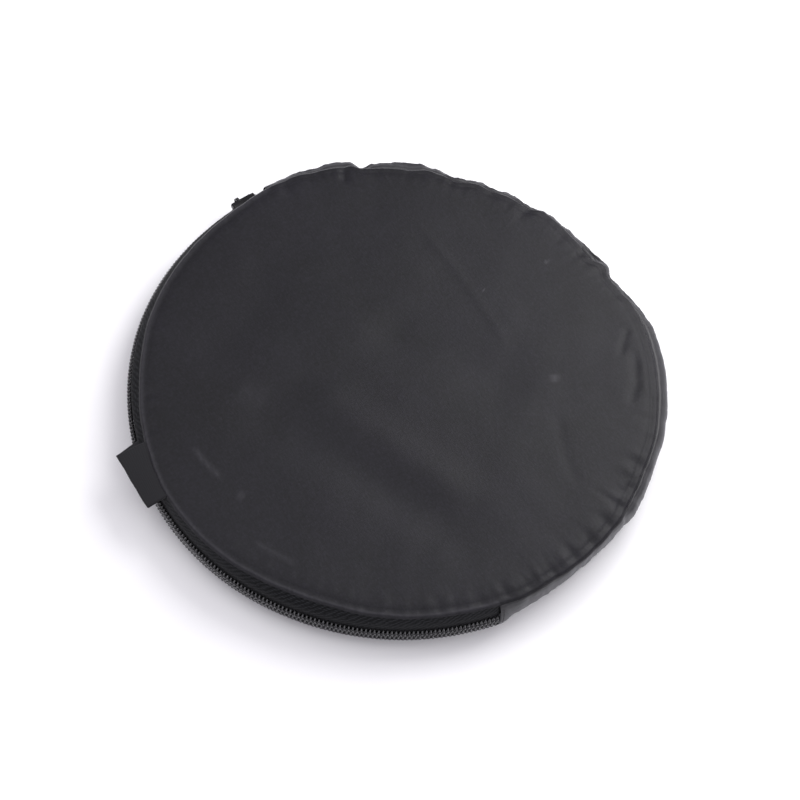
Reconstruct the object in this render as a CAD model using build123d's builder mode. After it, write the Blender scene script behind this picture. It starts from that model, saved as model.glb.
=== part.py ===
from build123d import *

# A collapsible five-in-one reflector disc, twisted into three loops and stored in its round zipped
# pouch. Millimetres, +Z up. The origin is the centre of the pouch's underside, which lies at z = 0.
# The zip runs round the front (-Y) half of the rim, and the lid folds back on a line along X.
# Azimuths are degrees counter-clockwise from +X, seen from above.
import os
from math import cos, radians, sin

os.makedirs("parts", exist_ok=True)

# Pouch
SEAM_RADIUS = 100.0  # the top and bottom panels are sewn to the rim here
RIM_RADIUS = 105.5  # the rim bulges out to here at half its height
THICKNESS = 21.0
FABRIC = 0.6  # folded nylon, seam allowance included
PANEL_RADIUS = SEAM_RADIUS - 0.05
MIDDLE = THICKNESS / 2  # height of the zip's centre line
FOLD = 24.0  # the lid's fold line is this far in front of the centre
FOLD_GAP = 0.3
BINDING_WIDTH = 3.2
BINDING_THICKNESS = 1.0
BINDING_OUTER = SEAM_RADIUS - 0.4

# Zip: a number 5 nylon coil, heights measured from its centre line
ZIP_START = 180.4
ZIP_END = 350.2
ZIP_SPAN = ZIP_END - ZIP_START
TAPE_OUTER = 102.6
COIL_OUTER = 104.4
COIL_INSIDE = 0.6  # half the gap that the slider's post runs in
COIL_HALF = 3.0
TAPE_KNEE = 5.4  # the tape stands upright up to here and then slopes to its seam
END_SPAN = 16.0  # arc that surely holds the short zip end behind the fold line
STOP_SPAN = 0.8
BOTTOM_STOP_SPAN = 1.2

# Slider, measured along the zip (its nose is at the negative end), up from the zip, and outwards
SLIDER_AZIMUTH = 185.2
SLIDER_HALF_LENGTH = 5.8
SHOULDER_HALF = 4.9
TAIL_HALF = 4.0
PLATE = 1.0
FRONT_PLATE = 104.7
BACK_PLATE = 100.5
FLANGE_INNER = 103.0
CHANNEL_HALF = 3.3
POST_HALF = 0.3
CROWN_HALF_WIDTH = 0.7
CROWN_BAR = 1.0
CROWN_WINDOW = 1.7
CROWN_HALF_LENGTH = 5.0
CROWN_LEG = 1.2

# Pull tab
EYE_OUTER = 1.9
EYE_INNER = 1.15
EYE_HALF_WIDTH = 0.7
PULL_OFFSET = 1.5  # the eye sits this far along the crown
PULL_LENGTH = 9.9
PULL_THICKNESS = 1.2

# Carry loop: a ribbon folded double and sewn into the lid's seam
LOOP_AZIMUTH = 264.3
LOOP_WIDTH = 24.5
LOOP_ROOT = 101.0
LOOP_LONG_SIDE = 10.8
LOOP_SHORT_SIDE = 5.2
LOOP_RIBBON = 0.6
LOOP_ROOT_DEPTH = 1.3
LOOP_DEPTH = 3.0

# Folded reflector
OPEN_DIAMETER = 560.0
LOOP_COUNT = 3
HOOP_RADIUS = OPEN_DIAMETER / LOOP_COUNT / 2
HOOP_THICKNESS = 0.8
HOOP_WIDTH = 4.0
HOOP_BUTT_ARC = 0.3
FERRULE_WALL = 0.3
FERRULE_LENGTH = 12.0
LOOP_PITCH = 6.3
CASING_WALL = 0.6
CASING_POCKET = 4.8
CASING_INNER = 90.6
CASING_OUTER = 94.9
CLOTH_RADIUS = 92.0
CLOTH_THICKNESS = 4.6
COVER_ZIP_HALF = 1.6
COVER_ZIP_THICKNESS = 1.6
COVER_ZIP_AZIMUTH = 20.0
COVER_ZIP_SPAN = 180.0
COVER_SLIDER_HALF = 2.2
COVER_SLIDER_THICKNESS = 1.4
COVER_SLIDER_LENGTH = 8.0


def outward(azimuth):
    """The level direction away from the axis at this azimuth."""
    return Vector(cos(radians(azimuth)), sin(radians(azimuth)), 0)


def section_plane(azimuth):
    """The upright plane through the Z axis: local x is the radius, local y the height."""
    direction = outward(azimuth)
    return Plane(origin=(0, 0, 0), x_dir=direction, z_dir=direction.cross(Vector(0, 0, 1)))


def rim_plane(azimuth, radius, height):
    """The plane that faces outwards on the rim: local x runs counter-clockwise, local y up."""
    direction = outward(azimuth)
    along = Vector(0, 0, 1).cross(direction)
    return Plane(origin=direction * radius + Vector(0, 0, height), x_dir=along, z_dir=direction)


def level_plane(azimuth, height):
    """The level plane through the axis: local x runs along the rim, local y is the radius."""
    along = Vector(0, 0, 1).cross(outward(azimuth))
    return Plane(origin=(0, 0, height), x_dir=along, z_dir=(0, 0, -1))


def keep_lid_side():
    """Cuts the open part back to the lid, in front of the fold line."""
    split(bisect_by=Plane.XZ.offset(FOLD + FOLD_GAP / 2), keep=Keep.TOP)


def keep_pouch_side():
    """Cuts the open part back to what stays with the pouch, behind the fold line."""
    split(bisect_by=Plane.XZ.offset(FOLD - FOLD_GAP / 2), keep=Keep.BOTTOM)


def ring(inner, outer, low, high, start=0.0, span=360.0):
    """Revolves a rectangle of radii and heights about the Z axis into the open part."""
    with BuildSketch(section_plane(start)) as section:
        with Locations(((inner + outer) / 2, (low + high) / 2)):
            Rectangle(outer - inner, high - low)
    revolve(section.sketch, axis=Axis.Z, revolution_arc=span)


def tape_ring(side, start, span):
    """Revolves one zip tape, from its seam to the centre line: side is 1 above it, -1 below."""
    slope = (TAPE_OUTER - SEAM_RADIUS) / (MIDDLE - TAPE_KNEE)
    outline = (
        (SEAM_RADIUS, MIDDLE),
        (TAPE_OUTER, TAPE_KNEE),
        (TAPE_OUTER, COIL_INSIDE),
        (TAPE_OUTER - FABRIC, COIL_INSIDE),
        (TAPE_OUTER - FABRIC, TAPE_KNEE),
        (SEAM_RADIUS, MIDDLE - FABRIC / slope),
    )
    with BuildSketch(section_plane(start)) as section:
        with BuildLine():
            Polyline(*[(radius, MIDDLE + side * rise) for radius, rise in outline], close=True)
        make_face()
    revolve(section.sketch, axis=Axis.Z, revolution_arc=span)


def coil_ring(side, start, span):
    """Revolves one half of the zip's coil: side is 1 above the centre line, -1 below."""
    near = MIDDLE + side * COIL_INSIDE
    far = MIDDLE + side * COIL_HALF
    ring(TAPE_OUTER, COIL_OUTER, min(near, far), max(near, far), start, span)


def save(name, part):
    """Labels a finished piece and writes it to its own file."""
    part.label = name
    export_step(part, f"parts/{name}.step")


# ---- Pouch: panels and rim ----

with BuildPart() as bottom_panel:
    with BuildSketch(Plane.XY):
        Circle(PANEL_RADIUS)
    extrude(amount=FABRIC)
save("bottom_panel", bottom_panel.part)

with BuildPart() as top_panel_rear:
    with BuildSketch(Plane.XY.offset(THICKNESS - FABRIC)):
        Circle(PANEL_RADIUS)
    extrude(amount=FABRIC)
    keep_pouch_side()
save("top_panel_rear", top_panel_rear.part)

with BuildPart() as top_panel_lid:
    with BuildSketch(Plane.XY.offset(THICKNESS - FABRIC)):
        Circle(PANEL_RADIUS)
    extrude(amount=FABRIC)
    keep_lid_side()
save("top_panel_lid", top_panel_lid.part)

# The fabric gusset bulges between the seams on the half of the rim that has no zip
with BuildPart() as gusset_band:
    with BuildSketch(section_plane(ZIP_END)):
        with BuildLine():
            outside = ThreePointArc(
                (SEAM_RADIUS, 0), (RIM_RADIUS, MIDDLE), (SEAM_RADIUS, THICKNESS)
            )
            inside = ThreePointArc(
                (SEAM_RADIUS, FABRIC),
                (RIM_RADIUS - FABRIC, MIDDLE),
                (SEAM_RADIUS, THICKNESS - FABRIC),
            )
            Line(outside @ 0, inside @ 0)
            Line(outside @ 1, inside @ 1)
        make_face()
    revolve(axis=Axis.Z, revolution_arc=360 - ZIP_SPAN)
save("gusset_band", gusset_band.part)

# Bias tape binds the raw edges of both seams inside the pouch
with BuildPart() as seam_binding_lower:
    ring(BINDING_OUTER - BINDING_WIDTH, BINDING_OUTER, FABRIC, FABRIC + BINDING_THICKNESS)
save("seam_binding_lower", seam_binding_lower.part)

BINDING_TOP = THICKNESS - FABRIC
with BuildPart() as seam_binding_rear:
    ring(BINDING_OUTER - BINDING_WIDTH, BINDING_OUTER, BINDING_TOP - BINDING_THICKNESS, BINDING_TOP)
    keep_pouch_side()
save("seam_binding_rear", seam_binding_rear.part)

with BuildPart() as seam_binding_lid:
    ring(BINDING_OUTER - BINDING_WIDTH, BINDING_OUTER, BINDING_TOP - BINDING_THICKNESS, BINDING_TOP)
    keep_lid_side()
save("seam_binding_lid", seam_binding_lid.part)

# ---- Zip chain ----

with BuildPart() as zip_tape_lower:
    tape_ring(-1, ZIP_START, ZIP_SPAN)
save("zip_tape_lower", zip_tape_lower.part)

with BuildPart() as zip_tape_lid:
    tape_ring(1, ZIP_START, ZIP_SPAN)
    keep_lid_side()
save("zip_tape_lid", zip_tape_lid.part)

with BuildPart() as zip_coil_lower:
    coil_ring(-1, ZIP_START, ZIP_SPAN)
save("zip_coil_lower", zip_coil_lower.part)

with BuildPart() as zip_coil_lid:
    coil_ring(1, ZIP_START, ZIP_SPAN)
    keep_lid_side()
save("zip_coil_lid", zip_coil_lid.part)

# Behind the fold line both ends of the upper tape and coil stay with the pouch
for end_name, end_start in (("left", ZIP_START), ("right", ZIP_END - END_SPAN)):
    with BuildPart() as zip_tape_end:
        tape_ring(1, end_start, END_SPAN)
        keep_pouch_side()
    save(f"zip_tape_{end_name}_end", zip_tape_end.part)

    with BuildPart() as zip_coil_end:
        coil_ring(1, end_start, END_SPAN)
        keep_pouch_side()
    save(f"zip_coil_{end_name}_end", zip_coil_end.part)

# One crimped stop on the face of each coil, just ahead of the closed slider
with BuildPart() as zip_top_stops:
    for stop_side in (-1, 1):
        stop_low, stop_high = sorted((stop_side * COIL_INSIDE, stop_side * COIL_HALF))
        ring(
            COIL_OUTER,
            COIL_OUTER + PLATE / 2,
            MIDDLE + stop_low,
            MIDDLE + stop_high,
            ZIP_START,
            STOP_SPAN,
        )
save("zip_top_stops", zip_top_stops.part)

# One stop joins both coils at the far end, under the edge of the gusset
with BuildPart() as zip_bottom_stop:
    ring(
        TAPE_OUTER,
        COIL_OUTER,
        MIDDLE - COIL_HALF,
        MIDDLE + COIL_HALF,
        ZIP_END,
        BOTTOM_STOP_SPAN,
    )
save("zip_bottom_stop", zip_bottom_stop.part)

# ---- Slider: two plates joined by a post between the coils, with a crown for the pull ----


def slider_outline():
    """Draws the slider's plate, wide at the shoulders by its nose and narrower at its tail."""
    with BuildLine() as edge:
        Polyline(
            (-SLIDER_HALF_LENGTH, 0),
            (-SLIDER_HALF_LENGTH, SHOULDER_HALF / 2),
            (-0.75 * SLIDER_HALF_LENGTH, SHOULDER_HALF),
            (-0.2 * SLIDER_HALF_LENGTH, SHOULDER_HALF),
            (SLIDER_HALF_LENGTH, TAIL_HALF),
            (SLIDER_HALF_LENGTH, 0),
        )
        mirror(about=Plane.XZ)
    make_face(edge.edges())
    fillet(vertices().group_by(Axis.X)[-1], radius=1.0)


with BuildPart() as slider_body:
    with BuildSketch(rim_plane(SLIDER_AZIMUTH, FRONT_PLATE, MIDDLE)):
        slider_outline()
    extrude(amount=PLATE)
    with BuildSketch(rim_plane(SLIDER_AZIMUTH, FLANGE_INNER, MIDDLE)):
        slider_outline()
        Rectangle(3 * SLIDER_HALF_LENGTH, 2 * CHANNEL_HALF, mode=Mode.SUBTRACT)
    extrude(amount=FRONT_PLATE - FLANGE_INNER)
    with BuildSketch(rim_plane(SLIDER_AZIMUTH, BACK_PLATE, MIDDLE)):
        slider_outline()
    extrude(amount=PLATE)
    with BuildSketch(rim_plane(SLIDER_AZIMUTH, BACK_PLATE + PLATE, MIDDLE)):
        with Locations((-0.55 * SLIDER_HALF_LENGTH, 0)):
            Rectangle(0.5 * SLIDER_HALF_LENGTH, 2 * POST_HALF)
    extrude(amount=FRONT_PLATE - BACK_PLATE - PLATE)
    crown_base = FRONT_PLATE + PLATE
    crown_top = crown_base + CROWN_WINDOW + CROWN_BAR
    with BuildSketch(level_plane(SLIDER_AZIMUTH, MIDDLE)) as crown_side:
        with BuildLine():
            Polyline(
                (-CROWN_HALF_LENGTH, crown_base),
                (-CROWN_HALF_LENGTH, crown_top),
                (CROWN_HALF_LENGTH, crown_top),
                (CROWN_HALF_LENGTH, crown_base),
                close=True,
            )
        make_face()
        fillet(vertices().group_by(Axis.Y)[-1], radius=CROWN_BAR)
        with Locations((0, crown_base + CROWN_WINDOW / 2)):
            Rectangle(2 * (CROWN_HALF_LENGTH - CROWN_LEG), CROWN_WINDOW, mode=Mode.SUBTRACT)
    extrude(amount=CROWN_HALF_WIDTH, both=True)
save("slider_body", slider_body.part)

# The pull's eye goes round the crown's bar, and its tab hangs down just clear of the surface below
CROWN_AXIS = FRONT_PLATE + PLATE + CROWN_WINDOW + CROWN_BAR / 2
with BuildPart() as pull_tab:
    eye_plane = section_plane(SLIDER_AZIMUTH)
    eye_plane.origin = rim_plane(SLIDER_AZIMUTH, CROWN_AXIS, MIDDLE).from_local_coords(
        Vector(PULL_OFFSET, 0, 0)
    )
    with BuildSketch(eye_plane):
        Circle(EYE_OUTER)
        Circle(EYE_INNER, mode=Mode.SUBTRACT)
    extrude(amount=EYE_HALF_WIDTH, both=True)
    with BuildSketch(rim_plane(SLIDER_AZIMUTH, CROWN_AXIS - PULL_THICKNESS / 2, MIDDLE)):
        with BuildLine():
            Polyline(
                (PULL_OFFSET - 1.1, -EYE_INNER - 0.35),
                (PULL_OFFSET + 1.1, -EYE_INNER - 0.35),
                (PULL_OFFSET + 2.4, -PULL_LENGTH),
                (PULL_OFFSET - 2.4, -PULL_LENGTH),
                close=True,
            )
        make_face()
        fillet(vertices().group_by(Axis.Y)[0], radius=1.6)
        with Locations((PULL_OFFSET, 2.6 - PULL_LENGTH)):
            Circle(1.0, mode=Mode.SUBTRACT)
    extrude(amount=PULL_THICKNESS)
save("pull_tab", pull_tab.part)

# ---- Carry loop on the lid ----


def loop_section(offset, reach, skin):
    """The loop's teardrop section, skin inside its outer face, at one edge of the ribbon."""
    plane = section_plane(LOOP_AZIMUTH)
    along = Vector(0, 0, 1).cross(outward(LOOP_AZIMUTH))
    plane.origin = outward(LOOP_AZIMUTH) * LOOP_ROOT + along * offset
    root_top = THICKNESS - 0.1
    end_half = LOOP_DEPTH / 2
    end_middle = root_top - end_half
    with BuildSketch(plane) as section:
        with BuildLine():
            bend = CenterArc((reach - end_half, end_middle), end_half - skin, -90, 180)
            upper_root = (skin, root_top - skin)
            lower_root = (skin, root_top - LOOP_ROOT_DEPTH + skin)
            Line(bend @ 1, upper_root)
            Line(upper_root, lower_root)
            Line(lower_root, bend @ 0)
        make_face()
    return section.sketch


with BuildPart() as carry_loop:
    long_edge = loop_section(-LOOP_WIDTH / 2, LOOP_LONG_SIDE, 0)
    short_edge = loop_section(LOOP_WIDTH / 2, LOOP_SHORT_SIDE, 0)
    loft([long_edge, short_edge])
    long_mouth = loop_section(-LOOP_WIDTH / 2, LOOP_LONG_SIDE, LOOP_RIBBON)
    short_mouth = loop_section(LOOP_WIDTH / 2, LOOP_SHORT_SIDE, LOOP_RIBBON)
    loft([long_mouth, short_mouth], mode=Mode.SUBTRACT)
save("carry_loop", carry_loop.part)

# ---- Folded reflector: one spring hoop in three stacked loops, cloths, casing and cover ----

loop_heights = [MIDDLE + LOOP_PITCH * (index - (LOOP_COUNT - 1) / 2) for index in range(LOOP_COUNT)]

with BuildPart() as spring_hoop:
    for index, height in enumerate(loop_heights):
        ring(
            HOOP_RADIUS - HOOP_THICKNESS / 2,
            HOOP_RADIUS + HOOP_THICKNESS / 2,
            height - HOOP_WIDTH / 2,
            height + HOOP_WIDTH / 2,
            HOOP_BUTT_ARC / 2,
            360 - HOOP_BUTT_ARC if index == 0 else 360,
        )
save("spring_hoop", spring_hoop.part)

# The crimped sleeve joins the two ends of the steel band, in the lowest loop
FERRULE_ARC = FERRULE_LENGTH / radians(HOOP_RADIUS)
with BuildPart() as hoop_ferrule:
    ring(
        HOOP_RADIUS - HOOP_THICKNESS / 2 - FERRULE_WALL,
        HOOP_RADIUS + HOOP_THICKNESS / 2 + FERRULE_WALL,
        loop_heights[0] - HOOP_WIDTH / 2 - FERRULE_WALL,
        loop_heights[0] + HOOP_WIDTH / 2 + FERRULE_WALL,
        -FERRULE_ARC / 2,
        FERRULE_ARC,
    )
    with BuildSketch(section_plane(-FERRULE_ARC / 2)):
        with Locations((HOOP_RADIUS, loop_heights[0])):
            Rectangle(HOOP_THICKNESS, HOOP_WIDTH)
    revolve(axis=Axis.Z, revolution_arc=FERRULE_ARC, mode=Mode.SUBTRACT)
save("hoop_ferrule", hoop_ferrule.part)

# The edge tape is a channel round each loop, open towards the cloth
with BuildPart() as hoop_casing:
    for height in loop_heights:
        with BuildSketch(section_plane(0)):
            with Locations(((CASING_INNER + CASING_OUTER) / 2, height)):
                Rectangle(CASING_OUTER - CASING_INNER, CASING_POCKET + 2 * CASING_WALL)
            with Locations(((CASING_INNER + CASING_OUTER) / 2 - CASING_WALL, height)):
                Rectangle(CASING_OUTER - CASING_INNER, CASING_POCKET, mode=Mode.SUBTRACT)
        revolve(axis=Axis.Z)
save("hoop_casing", hoop_casing.part)

# Each cloth of the set is gathered inside one loop of the stack
cloth_names = ("cover_gold_black", "diffuser_cloth", "cover_silver_white")
for cloth_name, height in zip(cloth_names, loop_heights):
    with BuildPart() as cloth:
        with BuildSketch(Plane.XY.offset(height - CLOTH_THICKNESS / 2)):
            Circle(CLOTH_RADIUS)
        extrude(amount=CLOTH_THICKNESS)
    save(cloth_name, cloth.part)

# The removable cover closes with its own zip, half way round its edge
with BuildPart() as cover_zip_chain:
    ring(
        CASING_OUTER,
        CASING_OUTER + COVER_ZIP_THICKNESS,
        loop_heights[-1] - COVER_ZIP_HALF,
        loop_heights[-1] + COVER_ZIP_HALF,
        COVER_ZIP_AZIMUTH,
        COVER_ZIP_SPAN,
    )
save("cover_zip_chain", cover_zip_chain.part)

COVER_SLIDER_RADIUS = CASING_OUTER + COVER_ZIP_THICKNESS
with BuildPart() as cover_zip_slider:
    slider_plane = rim_plane(COVER_ZIP_AZIMUTH + 5, COVER_SLIDER_RADIUS + 0.05, loop_heights[-1])
    with BuildSketch(slider_plane):
        RectangleRounded(COVER_SLIDER_LENGTH, 2 * COVER_SLIDER_HALF, 1.5)
    extrude(amount=COVER_SLIDER_THICKNESS)
save("cover_zip_slider", cover_zip_slider.part)
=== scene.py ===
from functools import lru_cache
from math import atan2, cos, degrees, exp, hypot, log, pi, radians, sin, sqrt

import bmesh
import bpy
from mathutils import Matrix, Vector, noise


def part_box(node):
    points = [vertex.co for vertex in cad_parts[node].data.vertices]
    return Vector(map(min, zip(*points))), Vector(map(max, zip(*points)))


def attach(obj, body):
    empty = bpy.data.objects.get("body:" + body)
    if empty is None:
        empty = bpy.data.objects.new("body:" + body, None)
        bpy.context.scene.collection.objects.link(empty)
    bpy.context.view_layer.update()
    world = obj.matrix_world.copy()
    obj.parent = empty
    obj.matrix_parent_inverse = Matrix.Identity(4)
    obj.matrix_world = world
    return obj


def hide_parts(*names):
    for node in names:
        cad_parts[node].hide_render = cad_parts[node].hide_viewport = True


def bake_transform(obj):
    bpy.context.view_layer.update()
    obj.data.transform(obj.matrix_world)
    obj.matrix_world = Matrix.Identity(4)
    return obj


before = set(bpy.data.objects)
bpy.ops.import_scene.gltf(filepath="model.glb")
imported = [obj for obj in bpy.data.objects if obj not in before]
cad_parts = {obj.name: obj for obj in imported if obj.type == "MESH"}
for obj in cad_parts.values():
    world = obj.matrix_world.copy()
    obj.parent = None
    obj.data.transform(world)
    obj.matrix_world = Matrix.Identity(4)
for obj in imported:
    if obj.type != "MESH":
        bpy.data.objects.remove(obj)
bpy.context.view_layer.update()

MM = 0.001

# ---- Sizes, from the frame ----

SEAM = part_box("bottom_panel")[1].x / MM
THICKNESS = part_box("gusset_band")[1].z / MM
MIDDLE = THICKNESS / 2
ZIP_START = 180.4
ZIP_END = 350.2
ZIP_SPAN = ZIP_END - ZIP_START

# The zip: each tape bends at a knee, TAPE_KNEE above or below the zip's centre line, and from
# there to the coil it stands upright at the radius TAPE_FACE
TAPE_FACE = 102.6
TAPE_KNEE = 5.4
TAPE_WIDTH = 12
TAPE_THICKNESS = 0.5
KNEE_SHARE = 0.55  # how much of the tape's width lies between its seam and the knee
TAPE_GAP = 0.65  # the tapes end this far above and below the centre line
COIL_PITCH = 1.58
COIL_WIRE = 0.36  # radius of the monofilament
COIL_MIDDLE = 1.5  # height of each coil's own middle above or below the zip's centre line
COIL_HALF_HEIGHT = 1.5
COIL_HALF_DEPTH = 0.5
COIL_RADIUS = 103.45
COIL_SWELL = 0.1  # the zip follows this much of the rim's swelling, so that the slider clears it
THREAD_WIRE = 0.15
THREAD_HEIGHT = 2.35

CLOTH = 0.25  # thickness of the nylon
PANEL_TOP = THICKNESS + 0.45
SEAM_TOP = THICKNESS - 0.55
INSIDE_CLEAR = 99.6  # the reflector turns inside this radius, so near the top seam the gusset
INSIDE_TOP = THICKNESS - 1.35  # goes in past it only above this height
PANEL_LIP = 0.15  # the top panel reaches this far past its seam

# ---- How the cloth is gathered ----

# The folded hoops inside aren't quite round: the radius of the top seam at these azimuths
SEAM_RADII = (
    (2.5, 101.9), (9, 102.4), (20, 102.5), (24, 102.6), (28, 101.8), (37, 101.4), (45, 101.9),
    (54, 101.6), (69, 101.4), (76, 101.1), (80, 100.3), (84, 98.7), (88, 97.6), (91.5, 99.8),
    (95, 96.6), (101, 97.8), (107, 98.9), (111.5, 99.4), (115.5, 96.9), (121, 97.6),
    (126, 97.0), (129, 97.9), (134, 96.2), (138.5, 97.9), (141.5, 99.2), (145, 98.3),
    (151.5, 98.8), (157, 99.0), (160.5, 101.5), (168, 101.4), (173, 102.2), (178.5, 101.9),
    (184, 101.0), (188, 100.4), (194, 99.9), (205, 99.7), (227, 99.7), (235, 99.2), (243, 99.2),
    (251, 99.9), (260, 100.6), (265, 101.2), (270, 101.7), (284, 101.7), (290, 101.4),
    (300, 100.5), (306, 100.0), (313, 100.0), (324, 100.9), (331, 101.3), (341, 101.4),
    (350, 102.0), (356, 102.6),
)
# The radius of the bottom seam at these azimuths
FOOT_RADII = (
    (4, 98.7), (11, 98.5), (18, 99.4), (26, 100.0), (90, 100.0), (180, 100.0), (340, 100.0),
    (350, 99.8), (357, 99.1),
)
# How far out the gusset's belly reaches, and how high up the pouch it is fullest
BELLY_RADII = (
    (4, 102.2), (11, 102.0), (17, 102.6), (24, 103.4), (28.5, 105.0), (42, 104.8), (48, 105.9),
    (56, 106.4), (65, 106.8), (74, 106.5), (80, 104.2), (85.5, 101.6), (89, 100.5), (92, 102.3),
    (95, 102.1), (99, 101.6), (105, 101.4), (112, 101.8), (116, 100.3), (121, 101.5),
    (126, 100.9), (129, 101.3), (133, 100.2), (136, 100.8), (140, 102.6), (144.5, 104.6),
    (149, 104.2), (154.5, 103.2), (157.3, 102.0), (160, 106.0), (163, 106.3), (168, 105.8),
    (180.4, 104.9), (350.2, 104.6), (357, 102.6),
)
BELLY_HEIGHTS = (
    (20, 0.5), (50, 0.56), (72, 0.64), (95, 0.80), (140, 0.84), (172, 0.80), (180.4, 0.66),
    (350.2, 0.45),
)
# Deep pockets where the gusset is folded in beside the seam: azimuth, half width and depth
POCKETS = (
    (96.2, 2.2, 2.4), (88.3, 1.2, 1.0), (82.5, 1.6, 0.8), (115.5, 2.0, 0.8), (134.5, 2.0, 1.0),
    (125.5, 2.2, 0.6), (156.8, 1.6, 1.4), (146, 3.0, 0.8), (170, 4.0, 0.7),
)
# Places where the seam's thread has pulled the cloth in, and how strongly
PINCHES = (
    (176, 0.7), (169, 0.5), (161.5, 1.4), (146, 0.8), (135, 0.8), (125, 0.7),
    (115, 0.8), (105, 0.4), (97.5, 1.1), (90.5, 1.0), (83, 0.3), (76, 0.25), (69, 0.2),
    (61, 0.2), (52, 0.15), (44, 0.3), (37, 0.9), (31, 0.9), (26, 1.2), (20.5, 0.8), (15, 1.3),
    (9.5, 0.9), (4, 1.1), (358, 0.8), (353, 0.6),
    (188, 0.5), (194, 0.7), (200, 0.9), (206, 0.6), (213, 0.3), (222, 0.4), (231, 0.5), (238, 0.3),
    (247, 0.4), (255, 0.6), (273, 0.7), (279, 0.4), (286, 0.6), (292, 0.8), (297, 0.5),
    (303, 0.9), (309, 0.6), (316, 0.8), (322, 1.0), (328, 0.7), (334, 1.1), (341, 0.8), (347, 0.9),
)
# Long soft folds and creases of the top panel: points in millimetres, half width and height
PANEL_FOLDS = (
    (((-24, -60), (-9, -53), (47, -26), (67, -16), (84, -12)), 11, -1.0),
    (((-16, -36), (-4, -30), (31, -17), (62, -3)), 9, 0.9),
    (((-30, 12), (-13, 9), (6, 22), (31, 44)), 13, -0.8),
    (((-70, -12), (-50, -40), (-36, -66)), 12, -0.5),
    (((-58, 43), (-31, 45.5), (3, 45), (14, 42)), 1.6, 0.13),
    (((-11, -84.5), (-1, -82.4), (7, -80.6)), 1.1, 0.2),
    (((34, -83), (42.7, -78.5), (51, -73.5)), 1.3, 0.15),
    (((26, 91), (36, 80)), 1.2, -0.35),
    (((36, 87), (49, 79), (56, 71)), 1.9, -0.5),
    (((43, 45), (62, 37), (76, 34)), 2.2, -0.12),
    (((-96, 31.5), (-88, 28)), 1.5, -1.1),
)
# Painted highlights on the top panel, lighter colour along bright creases and on bright spots:
# points in millimetres, half width and strength
PAINTED_HIGHLIGHTS = (
    (((-11, -84.5), (-9, -83.4), (-1, -82.4), (7, -80.6)), 0.9, 0.16),
    (((14.5, -78.2), (17.3, -76.8)), 1.5, 0.13),
    (((34, -83), (42.7, -78.5), (51, -73.5)), 0.9, 0.11),
    (((29.5, 53.4), (33.2, 51.4)), 1.6, 0.26),
    (((-15.3, 79.1), (-15.1, 79.1)), 0.65, 5.0),
    (((-25, -57), (-14, -49)), 6.0, 0.05),
    (((-16.5, 50), (-15.8, 50)), 0.8, 0.3),
)


def clamp01(value):
    return min(max(value, 0.0), 1.0)


def ease(value):
    """A smooth step from 0 to 1."""
    t = clamp01(value)
    return t * t * (3 - 2 * t)


def turn_between(a, b):
    """The smaller angle between two azimuths."""
    return abs((a - b + 180) % 360 - 180)


def on_zip(azimuth):
    return ZIP_START < azimuth < ZIP_END


def ripple(*place):
    """Smooth noise from -1 to 1 at this place, the same on every run."""
    x, y, z = (tuple(place) + (0.0, 0.0))[:3]
    return noise.noise(Vector((x, y, z)))


def along_rim(table, azimuth):
    """The value at this azimuth, eased between the azimuths that the table lists."""
    later = next((index for index, (at, _) in enumerate(table) if at > azimuth), 0)
    (before, low), (after, high) = table[later - 1], table[later]
    gap = (after - before) % 360
    return low + (high - low) * ease(((azimuth - before) % 360) / gap)


@lru_cache(maxsize=None)
def swelling(azimuth):
    """How far the top seam stands out of round."""
    return along_rim(SEAM_RADII, azimuth % 360) - SEAM


@lru_cache(maxsize=None)
def pinch(azimuth):
    """How strongly the seam is drawn in at this azimuth, from 0 to about 1.5."""
    total = 0.0
    for place, depth in PINCHES:
        half = 1.2 + 0.5 * ripple(place * 0.7)
        away = turn_between(azimuth, place)
        if away < 4 * half:
            total += depth * exp(-((away / half) ** 2))
    return total


@lru_cache(maxsize=None)
def seam_line(azimuth):
    """Radius and height of the top seam."""
    wander = 0.12 * ripple(azimuth * 0.45, 9.0)
    loose = 0.4 if on_zip(azimuth) else 1.0
    radius = SEAM + swelling(azimuth) + loose * (wander - 0.25 * pinch(azimuth))
    return radius, SEAM_TOP - 0.25 * pinch(azimuth) * loose + 0.15 * ripple(azimuth * 0.2, 2.0)


def distance_to_path(x, y, path):
    """Distance from a point to a broken line, and how near its ends that is, from 0 to 1."""
    best, inside, run = 1e9, 1.0, 0.0
    lengths = [hypot(b[0] - a[0], b[1] - a[1]) for a, b in zip(path, path[1:])]
    whole = sum(lengths)
    for (ax, ay), (bx, by), length in zip(path, path[1:], lengths):
        along = clamp01(((x - ax) * (bx - ax) + (y - ay) * (by - ay)) / length**2)
        away = hypot(x - ax - along * (bx - ax), y - ay - along * (by - ay))
        if away < best:
            best = away
            place = (run + along * length) / whole
            inside = ease(place * 4 + 0.15) * ease((1 - place) * 4 + 0.15)
        run += length
    return best, inside


def panel_relief(x, y):
    """Height that the folds, creases and slack add to the top panel."""
    height = 0.30 * ripple(x / 30, y / 30, 3.0) + 0.10 * ripple(x / 11, y / 11, 8.0)
    for path, half, rise in PANEL_FOLDS:
        reach = 3 * half
        if not min(p[0] for p in path) - reach < x < max(p[0] for p in path) + reach:
            continue
        if not min(p[1] for p in path) - reach < y < max(p[1] for p in path) + reach:
            continue
        away, inside = distance_to_path(x, y, path)
        if away < 3 * half:
            height += rise * inside * exp(-((away / half) ** 2))
    return height


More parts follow.
